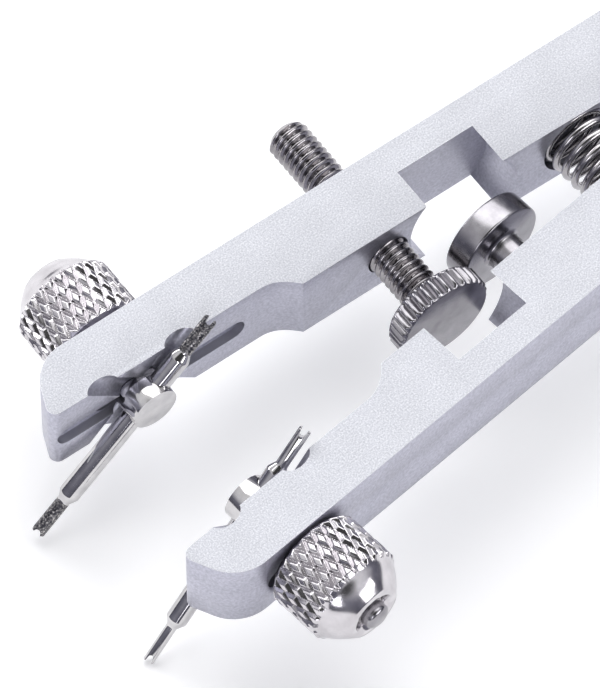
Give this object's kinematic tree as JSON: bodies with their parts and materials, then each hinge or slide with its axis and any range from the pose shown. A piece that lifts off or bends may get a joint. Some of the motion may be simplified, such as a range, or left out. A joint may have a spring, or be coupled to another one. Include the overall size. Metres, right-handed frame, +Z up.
{
  "type": "spring bar pliers",
  "caption": "Spring bar pliers: two sprung arms joined at a pivot, with an adjusting screw and wheel, a limit stud and a clamped double-ended fork pin near each tip",
  "frame": {"origin": "on the pivot's axis, in the plane of the arms' undersides", "axes": "+X from the pivot toward the fork tips along the middle plane, +Y toward the stud arm, +Z up along the pivot's axis"},
  "size_m": [0.1528, 0.0448, 0.0188],
  "materials": {
    "arm_aluminium": "fine blasted and clear anodised, with small bright edge chamfers",
    "turned_steel": "turned and lightly polished",
    "dark_steel": "rolled thread, lightly oiled",
    "spring_steel": "bright drawn wire",
    "nickel_plate": "nickel plate over a diamond knurl",
    "polished_pin_steel": "hardened and polished, with ground forks"
  },
  "bodies": {
    "stud_arm": {"stud_arm": "arm_aluminium", "pivot_screw": "turned_steel", "limit_stud": "turned_steel", "return_spring": "spring_steel"},
    "screw_arm": {"screw_arm": "arm_aluminium"},
    "adjusting_screw": {"adjusting_screw": "dark_steel"},
    "adjusting_wheel": {"adjusting_wheel": "turned_steel"},
    "stud_side_post": {"stud_side_clamp_post": "turned_steel"},
    "stud_side_nut": {"stud_side_clamp_nut": "nickel_plate"},
    "stud_side_pin": {"stud_side_fork_pin": "polished_pin_steel"},
    "screw_side_post": {"screw_side_clamp_post": "turned_steel"},
    "screw_side_nut": {"screw_side_clamp_nut": "nickel_plate"},
    "screw_side_pin": {"screw_side_fork_pin": "polished_pin_steel"}
  },
  "joints": [
    {"name": "arm_squeeze", "type": "hinge", "parent": "stud_arm", "child": "screw_arm", "pos_m": [0, 0, 0], "axis": [0, 0, 1], "range_deg": [0, 2.2], "stiffness_Nm_per_rad": 12, "springref_deg": -1.49, "deforming": ["return_spring"]},
    {"name": "screw_travel", "type": "slide", "parent": "screw_arm", "child": "adjusting_screw", "axis": [-0.0653, -0.9979, 0], "range_m": [-0.0042, 0]},
    {"name": "wheel_turn", "type": "hinge", "parent": "adjusting_screw", "child": "adjusting_wheel", "pos_m": [0.11162, 0.00256, 0.004], "axis": [-0.0653, -0.9979, 0], "range_deg": [-2160, 0]},
    {"name": "stud_side_post_slide", "type": "slide", "parent": "stud_arm", "child": "stud_side_post", "axis": [0.9979, 0.0653, 0], "range_m": [-0.0017, 0.0018]},
    {"name": "stud_side_nut_turn", "type": "hinge", "parent": "stud_side_post", "child": "stud_side_nut", "pos_m": [0.13495, 0.0161, 0.00364], "axis": [-0.0653, 0.9979, 0], "continuous": true},
    {"name": "stud_side_pin_slide", "type": "slide", "parent": "stud_side_post", "child": "stud_side_pin", "axis": [0.7298, 0.0478, -0.682], "range_m": [-0.005, 0.0008]},
    {"name": "screw_side_post_slide", "type": "slide", "parent": "screw_arm", "child": "screw_side_post", "axis": [0.9979, -0.0653, 0], "range_m": [-0.0021, 0.0014]},
    {"name": "screw_side_nut_turn", "type": "hinge", "parent": "screw_side_post", "child": "screw_side_nut", "pos_m": [0.13535, -0.01613, 0.00364], "axis": [-0.0653, -0.9979, 0], "continuous": true},
    {"name": "screw_side_pin_slide", "type": "slide", "parent": "screw_side_post", "child": "screw_side_pin", "axis": [0.7298, -0.0478, -0.682], "range_m": [-0.005, 0.002]}
  ],
  "couplings": [
    {"joint": "wheel_turn", "follows": "screw_travel", "rad_per_m": 8976}
  ]
}
